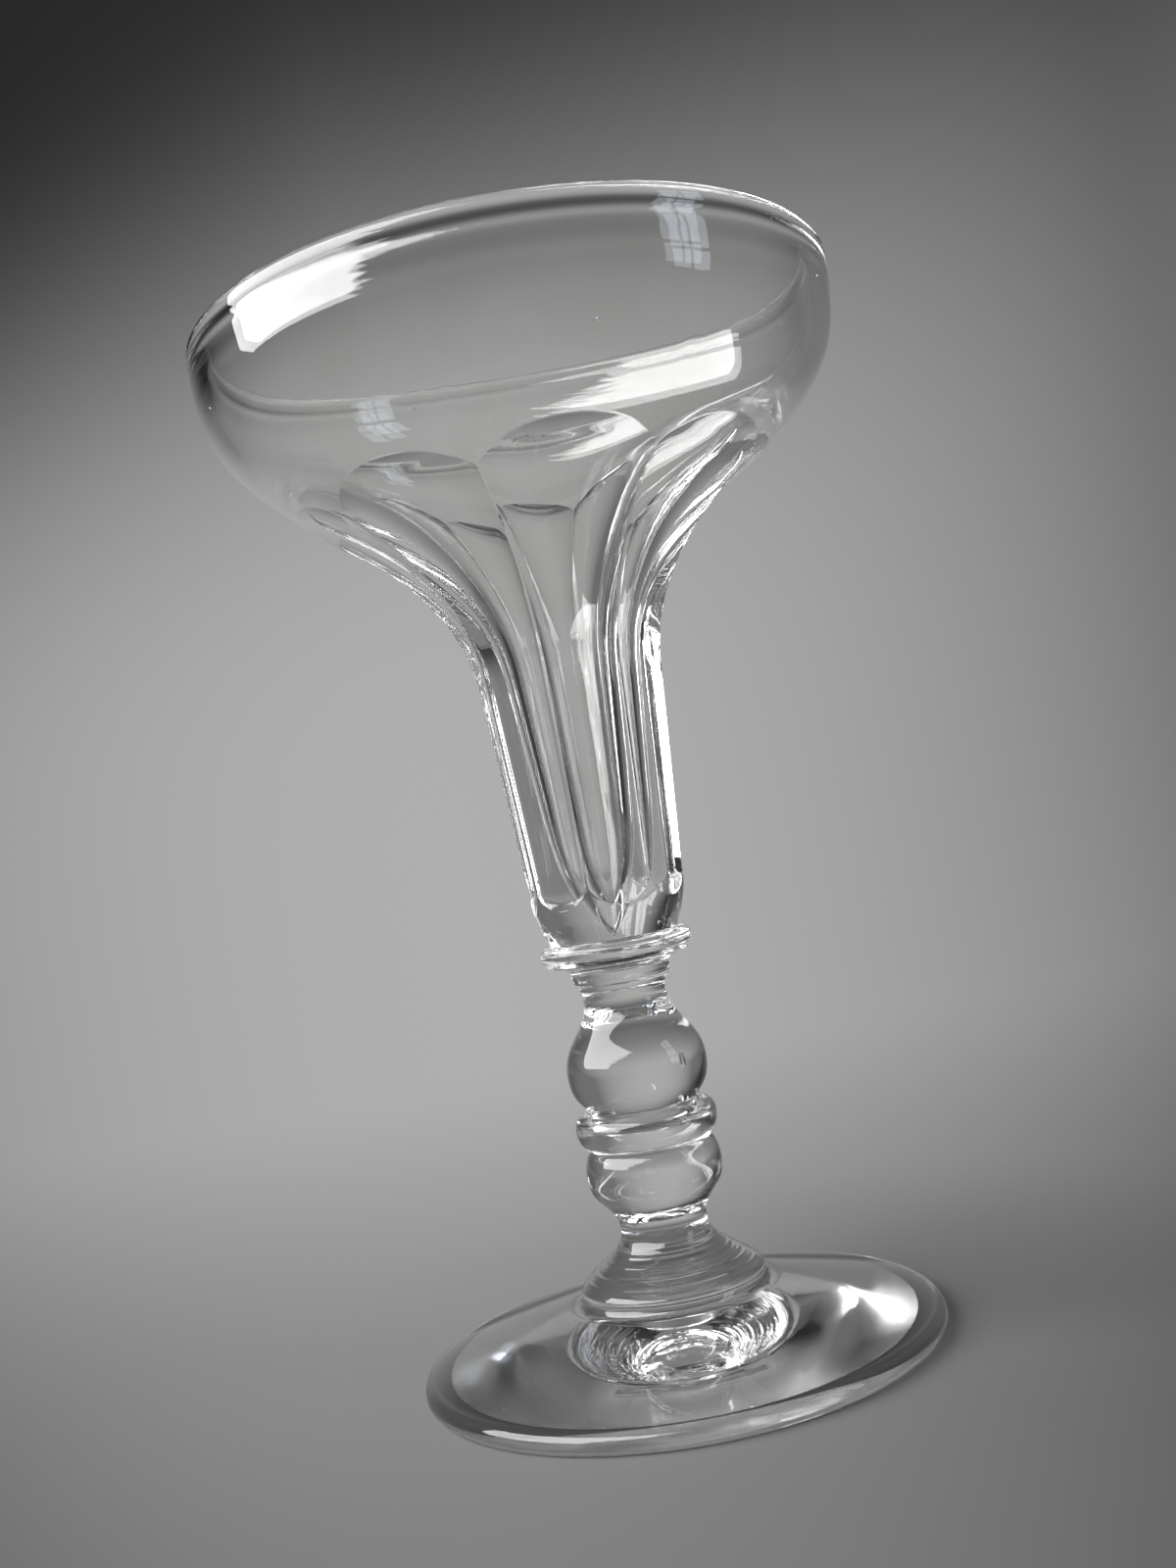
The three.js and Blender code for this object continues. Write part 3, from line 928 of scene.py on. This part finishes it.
class COUPE_OT_lower_knop(Operator):
    """Makes the solid knop on the neck of the foot"""

    bl_idname = "coupe.lower_knop"
    bl_label = "Lower Knop"

    LIFT = 0.5
    WAVE_LENGTH = 0.006

    def execute(self, context):
        s = context.scene.coupe_stem
        seals = context.scene.coupe_seals
        base, height, radius = span("lower_knop")
        outline = Outline(0.0, 0.0)
        outline.jump_to(seals.foot, 0.0)
        outline.swell_to(radius, s.lower_belly, self.LIFT)
        outline.draw_in_to(seals.ring, height)
        outline.jump_to(0.0, height)
        bm, _ = turn(outline.points)
        wave(bm, s.waviness, self.WAVE_LENGTH, [0.0, height])
        finish_piece(bm, "lower_gather", "lower_knop", glass_finish("knop_glass"), base, [0.0, height])
        return {"FINISHED"}


class COUPE_OT_foot(Operator):
    """Spreads the foot, with its tool marks and the ground pontil underneath"""

    bl_idname = "coupe.foot"
    bl_label = "Foot"

    TOE, NECK, NECK_LIFT = (UPRIGHT, 0.2), (UPRIGHT, 0.45), 0.3
    # Handles of the curve of the pontil, in shares of its radius and depth
    PONTIL_FLAT, PONTIL_BEND, PONTIL_DROP = 0.5, 0.8, 0.5
    WAVE_LENGTH = 0.009

    def execute(self, context):
        s = context.scene.coupe_foot
        seal = context.scene.coupe_seals.foot
        base, height, radius = span("foot")
        edge = s.edge / 2
        rest_outer = radius - edge
        rest_inner = rest_outer - s.rest_ring
        outline = Outline(0.0, s.kick + s.pontil_depth)
        outline.bend_to(
            (s.pontil_radius * self.PONTIL_FLAT, s.kick + s.pontil_depth),
            (s.pontil_radius * self.PONTIL_BEND, s.kick + s.pontil_depth * self.PONTIL_DROP),
            (s.pontil_radius, s.kick),
        )
        outline.line_to(rest_inner, 0.0)
        outline.line_to(rest_outer, 0.0)
        outline.row = FINE_ROW
        outline.swell_to(radius, edge)
        outline.draw_in_to(rest_outer, s.edge)
        outline.row = ROW
        outline.line_to(s.toe_radius + s.toe_fillet, s.toe_height)
        outline.row = FINE_ROW
        outline.round_to((s.toe_radius, s.toe_height), (s.toe_radius, s.toe_height + s.toe_fillet))
        first = len(outline.points) - 1
        outline.ease_to(s.neck_radius, height - s.neck_length, self.TOE, self.NECK)
        outline.groove(first, s.ring_pitch, s.ring_depth)
        outline.draw_in_to(seal, height, self.NECK_LIFT)
        outline.jump_to(0.0, height)
        bm, _ = turn(outline.points)
        wave(bm, s.waviness, self.WAVE_LENGTH, [0.0, height])
        finish_piece(bm, "spread_foot", "foot", glass_finish("spread_glass", spread=True), base, [height])
        return {"FINISHED"}


def direction(azimuth, elevation):
    """A bearing from the front panel towards the left of the picture, raised by an elevation."""
    return Vector((
        -math.sin(azimuth) * math.cos(elevation),
        -math.cos(azimuth) * math.cos(elevation),
        math.sin(elevation),
    ))


class Window(NamedTuple):
    """A soft rectangular light round the glass, with angles in degrees."""

    name: str
    bearing: float
    elevation: float
    distance: float
    width: float
    height: float
    colour: tuple


MAIN_WINDOW = Window("window", 67.0, 31.0, 1.05, 1.89, 0.85, (1.0, 1.0, 1.0))
SIDE_WINDOW = Window("side_window", -55.0, 18.0, 1.1, 0.3, 0.95, (0.82, 0.88, 1.0))
LAMP_AIM = Vector((0, 0, 0.09))

# Curtain: folds to its height, where its edge starts, its lean, the depth of the folds and its softness
FOLDS, FOLD_DETAIL = 14.0, 3.0
EDGE_START, EDGE_LEAN, FOLD_DEPTH, EDGE_SOFTNESS = 0.34, 0.4, 0.45, 0.025

# Panes across and up, and the dark and the lit edge of a bar in shares of a pane
PANES = (2, 3)
BAR_DARK, BAR_LIT = 0.04, 0.1


def add_window(window, radiance):
    """Hangs a window that faces the glass; returns its nodes and the ways across and up it."""
    light = bpy.data.lights.new(window.name, "AREA")
    light.shape = "RECTANGLE"
    light.size = window.width
    light.size_y = window.height
    light.energy = radiance * math.pi * window.width * window.height
    lamp = bpy.data.objects.new(window.name, light)
    towards = direction(math.radians(window.bearing), math.radians(window.elevation))
    lamp.location = LAMP_AIM + towards * window.distance
    lamp.rotation_euler = (-towards).to_track_quat("-Z", "Y").to_euler()
    lamp.visible_camera = False
    bpy.context.scene.collection.objects.link(lamp)
    graph = ShaderGraph(light)
    across, up, _ = graph.axes(graph.node("ShaderNodeNewGeometry", {}, "Parametric"))
    return graph, across, up


def shine(graph, share, window):
    """Ends the nodes of a window: its colour, dimmed by a share that changes over it."""
    glow = graph.node("ShaderNodeEmission", {"Color": opaque(window.colour), "Strength": share})
    graph.node("ShaderNodeOutputLight", {"Surface": glow})


def curtained_window(window, radiance):
    """A window with one ragged edge, where a curtain is half drawn."""
    graph, across, up = add_window(window, radiance)
    folds = graph.node(
        "ShaderNodeTexNoise", {"W": up, "Scale": FOLDS, "Detail": FOLD_DETAIL}, noise_dimensions="1D"
    )
    edge = up * EDGE_LEAN + folds * FOLD_DEPTH + EDGE_START
    shine(graph, (edge - across).rise(0.0, EDGE_SOFTNESS), window)


def barred_window(window, radiance):
    """A window of panes between dark bars."""
    graph, across, up = add_window(window, radiance)
    share = 1.0
    for way, count in zip((across, up), PANES):
        place = (way * count).fraction()
        share = place.rise(BAR_DARK, BAR_LIT) * (1.0 - place.rise(1 - BAR_LIT, 1 - BAR_DARK)) * share
    shine(graph, share, window)


class Paint:
    """How the light and shade on the ground are painted: lengths in metres, bearings sideways over
    distance from the camera.
    """

    NEAREST = 0.1
    BRIGHT_BEARING = -0.1
    SIDE_LOSS, SIDE_LEAST, SIDE_EASE = 2.3, 0.4, 0.1
    FADE_TILT, LEFT_FADE_TILT = 0.18, 0.42
    FADE_POWER, DARKEST = 4.0, 0.054
    FLOOR_DEPTH = (-0.25, 0.34)
    DIP_HEIGHT, DIP_OFFSET = 0.04, 0.05
    DIP_STEEPNESS, DIP_RADIUS = (-0.4, -0.08), (0.045, 0.08)
    ROOM_HEIGHT, ROOM_RADIUS = (0.3, 1.1), (0.3, 0.8)
    AXIS = 0.001
    PICTURE_EDGE = (0.35, 0.75)
    MATT_SHARE = 0.72
    SHADOW_RADIUS = (0.04, 0.11)
    FOOT_RADIUS, FOOT_SHARE = (0.03, 0.045), 0.15


def ground_painted_light(stage):
    """A ground with painted light and shade: plain and matt near the glass, and further out a grey sweep
    that glows with its painted tone.

    Painted shade darkens it up the wall and towards the sides. Out of the picture it is painted dark, so
    that the edges of the glass are drawn by what they bend into view.
    """
    material = bpy.data.materials.new("painted_light_ground")
    graph = ShaderGraph(material)
    x, y, z = graph.axes(graph.place())
    c, s = math.cos(stage.camera_azimuth), math.sin(stage.camera_azimuth)
    depth = x * s + y * c
    aside = x * c - y * s
    radius = (x * x + y * y) ** 0.5
    seen, mirrored, passed = graph.outputs(
        "ShaderNodeLightPath", {}, ("Is Camera Ray", "Is Glossy Ray", "Is Transmission Ray")
    )
    bent = (mirrored + passed).at_most(1.0)

    # Painted shade: the tone falls off towards the sides and fades to dark up the wall
    bearing = aside / (depth + stage.camera_distance).at_least(Paint.NEAREST) - Paint.BRIGHT_BEARING
    sides = 1.0 - bearing * bearing * Paint.SIDE_LOSS
    sides = sides.at_least_softly(Paint.SIDE_LEAST, Paint.SIDE_EASE)
    tilt = bearing * Paint.FADE_TILT + bearing.at_most(0.0) * Paint.LEFT_FADE_TILT
    fade = (0.0 - (z / (tilt + stage.wall_shade_height)) ** Paint.FADE_POWER).power_of_e()
    light = sides * (fade * (1.0 - Paint.DARKEST) + Paint.DARKEST)

    # Painted shade: to light that the glass bends, the floor round the foot looks darker, fading further
    # out
    steepness = (z - Paint.DIP_HEIGHT) / (radius + Paint.DIP_OFFSET)
    low = (1.0 - steepness.rise(*Paint.DIP_STEEPNESS)) * radius.rise(*Paint.DIP_RADIUS)
    bent_shade = low * bent * stage.bent_floor_shade
    tone = graph.blend(
        depth.rise(*Paint.FLOOR_DEPTH), opaque(stage.ground_near), opaque(stage.ground_far)
    )
    tone = graph.scale(tone, light * (1.0 - bent_shade))

    # Painted shade and light of the room out of the picture: dark low down, lighter high up
    room = graph.blend(z.rise(*Paint.ROOM_HEIGHT), opaque(stage.room_low), opaque(stage.room_high))
    pictured = (depth / radius.at_least(Paint.AXIS)).rise(*Paint.PICTURE_EDGE)
    tone = graph.blend((1.0 - pictured) * radius.rise(*Paint.ROOM_RADIUS), tone, room)

    # Painted light: further out the painted tone glows to the camera and to light that the glass bends;
    # near the foot the ground is matt and lit by the lamps
    matt = graph.node("ShaderNodeBsdfDiffuse", {"Color": graph.scale(tone, Paint.MATT_SHARE)})
    painted_glow = graph.node("ShaderNodeEmission", {"Color": tone, "Strength": 1.0})
    through = radius.rise(*Paint.FOOT_RADIUS) * (1.0 - Paint.FOOT_SHARE) + Paint.FOOT_SHARE
    share = (seen * radius.rise(*Paint.SHADOW_RADIUS) + bent * through).at_most(1.0)
    surface = graph.node("ShaderNodeMixShader", {0: share, 1: matt, 2: painted_glow})
    graph.node("ShaderNodeOutputMaterial", {"Surface": surface})
    return material


class COUPE_OT_stage(Operator):
    """Sets the ground, the lamps, the sky and the camera"""

    bl_idname = "coupe.stage"
    bl_label = "Stage"

    REACH = 1.4
    SWEEP = 0.4
    WALL = 1.6
    ROW = 0.04
    BOUNCES = 24

    def add_ground(self, stage):
        """A round floor that sweeps up into a wall."""
        sweep = Outline(0.0, 0.0, self.ROW)
        sweep.line_to(self.REACH - self.SWEEP, 0.0)
        sweep.swell_to(self.REACH, self.SWEEP)
        sweep.line_to(self.REACH, self.WALL)
        bm, _ = turn(sweep.points)
        bmesh.ops.reverse_faces(bm, faces=bm.faces)
        ground = add_object(bm, "ground", (ground_painted_light(stage),))

    def add_sky(self, scene, stage):
        """An even light from above."""
        scene.world = bpy.data.worlds.new("sky")
        graph = ShaderGraph(scene.world)
        sky = graph.node("ShaderNodeBackground", {"Color": opaque((stage.sky,) * 3), "Strength": 1.0})
        graph.node("ShaderNodeOutputWorld", {"Surface": sky})

    def add_camera(self, scene, stage):
        """A camera that looks a little up at the glass, and leans."""
        data = bpy.data.cameras.new("camera")
        data.lens = stage.lens
        camera = bpy.data.objects.new("camera", data)
        towards = direction(stage.camera_azimuth, 0.0)
        camera.location = towards * stage.camera_distance + Vector((0, 0, stage.camera_height))
        look = direction(stage.camera_azimuth, -stage.camera_pitch)
        upright = (-look).to_track_quat("-Z", "Y")
        roll = Matrix.Rotation(-stage.camera_roll, 3, "Z").to_quaternion()
        camera.rotation_euler = (upright @ roll).to_euler()
        scene.collection.objects.link(camera)
        scene.camera = camera

    def execute(self, context):
        scene = context.scene
        stage = scene.coupe_stage
        self.add_ground(stage)
        curtained_window(MAIN_WINDOW, stage.window)
        barred_window(SIDE_WINDOW, stage.side_window)
        self.add_sky(scene, stage)
        self.add_camera(scene, stage)
        scene.view_settings.view_transform = "Standard"
        for limit in ("max_bounces", "glossy_bounces", "transmission_bounces", "transparent_max_bounces"):
            setattr(scene.cycles, limit, self.BOUNCES)
        return {"FINISHED"}


class COUPE_PT_gathers(Panel):
    """Lists the gathers of the glass in the order they are sealed, and the stage"""

    bl_label = "Champagne Coupe"
    bl_space_type = "VIEW_3D"
    bl_region_type = "UI"
    bl_category = "Coupe"

    def draw(self, context):
        for operator in OPERATORS:
            self.layout.operator(operator.bl_idname)


SETTINGS = {
    "coupe_seals": CoupeSeals,
    "coupe_bowl": CoupeBowl,
    "coupe_stem": CoupeStem,
    "coupe_foot": CoupeFoot,
    "coupe_glass": CoupeGlass,
    "coupe_stage": CoupeStage,
}
OPERATORS = (
    COUPE_OT_stage,
    COUPE_OT_foot,
    COUPE_OT_lower_knop,
    COUPE_OT_ring_knop,
    COUPE_OT_ball_knop,
    COUPE_OT_collar,
    COUPE_OT_bowl,
)


def register():
    for name, group in SETTINGS.items():
        bpy.utils.register_class(group)
        setattr(bpy.types.Scene, name, PointerProperty(type=group))
    for operator in OPERATORS:
        bpy.utils.register_class(operator)
    bpy.utils.register_class(COUPE_PT_gathers)


def unregister():
    bpy.utils.unregister_class(COUPE_PT_gathers)
    for operator in reversed(OPERATORS):
        bpy.utils.unregister_class(operator)
    for name, group in reversed(SETTINGS.items()):
        delattr(bpy.types.Scene, name)
        bpy.utils.unregister_class(group)


def main():
    """Builds the stage and the glass."""
    register()
    bpy.ops.coupe.stage()
    bpy.ops.coupe.foot()
    bpy.ops.coupe.lower_knop()
    bpy.ops.coupe.ring_knop()
    bpy.ops.coupe.ball_knop()
    bpy.ops.coupe.collar()
    bpy.ops.coupe.bowl()


if __name__ == "__main__":
    main()
